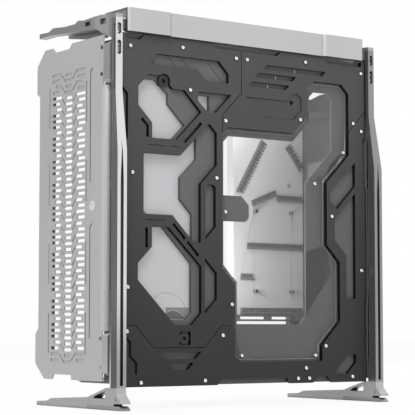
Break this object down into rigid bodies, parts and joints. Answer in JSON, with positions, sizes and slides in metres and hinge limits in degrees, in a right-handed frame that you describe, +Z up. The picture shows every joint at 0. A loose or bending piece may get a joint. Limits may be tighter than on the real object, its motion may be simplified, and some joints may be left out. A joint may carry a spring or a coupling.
{
  "type": "computer case",
  "caption": "Tall open-frame computer case on two C-shaped side frames, with a layered dark cover around a faceted clear window and a vented end panel.",
  "frame": {"origin": "centre of the footprint, on the floor", "axes": "+X along the cover to the right seen from the cover side, +Y away from the cover side, +Z up"},
  "size_m": [0.478, 0.228, 0.55],
  "materials": {
    "frame_metal": "bead-blasted anodised",
    "sole_metal": "bead-blasted anodised, darker",
    "bright_trim": "polished edge",
    "body_metal": "satin grey powder coat",
    "cover_dark": "satin dark grey",
    "backing_grey": "satin mid grey",
    "clear_sheet": "clear, polished edges",
    "frosted": "frosted, pale grey",
    "black_plastic": "fine grain",
    "screw_metal": "bright plated",
    "panel_metal": "satin light grey",
    "rear_metal": "satin grey",
    "brass": "turned",
    "comb_rubber": "matt"
  },
  "bodies": {
    "chassis": {"column_left": "frame_metal", "column_right": "frame_metal", "foot_blade_left": "frame_metal", "foot_blade_right": "frame_metal", "top_arm_left": "frame_metal", "top_arm_right": "frame_metal", "top_bar": "frame_metal", "bar_cap_left": "frame_metal", "bar_cap_right": "frame_metal", "panel_brackets_left": "frame_metal", "panel_brackets_right": "frame_metal", "foot_sole_left": "sole_metal", "foot_sole_right": "sole_metal", "edge_strip_left": "bright_trim", "edge_strip_right": "bright_trim", "near_post_left": "body_metal", "near_post_right": "body_metal", "far_post_left": "body_metal", "far_post_right": "body_metal", "far_rail_upper": "body_metal", "far_rail_lower": "body_metal", "roof_plate": "body_metal", "floor_plate": "body_metal", "bar_bracket_left": "body_metal", "bar_bracket_right": "body_metal", "psu_bracket": "body_metal", "tray_rail": "body_metal", "cover_left_plate": "cover_dark", "cover_upper_plate": "cover_dark", "cover_lower_plate": "cover_dark", "backing_plate": "backing_grey", "window_sheet": "clear_sheet", "reservoir_plate": "frosted", "port_plugs": "black_plastic", "pump_cap": "black_plastic", "button_carrier": "black_plastic", "button_switch": "black_plastic", "cover_screws": "screw_metal", "window_screws": "screw_metal", "bracket_screws": "screw_metal", "slot_screws": "screw_metal", "tray_screw": "screw_metal", "drive_screws": "screw_metal", "vent_panel": "panel_metal", "board_tray": "panel_metal", "drive_plates": "panel_metal", "rear_panel": "rear_metal", "slot_covers": "rear_metal", "board_standoffs": "brass", "cable_combs": "comb_rubber"},
    "button": {"power_button": "bright_trim"}
  },
  "joints": [
    {"name": "power_press", "type": "slide", "parent": "chassis", "child": "button", "axis": [1, 0, 0], "range_m": [0, 0.0015], "stiffness_N_per_m": 600, "springref_m": -0.0005}
  ]
}
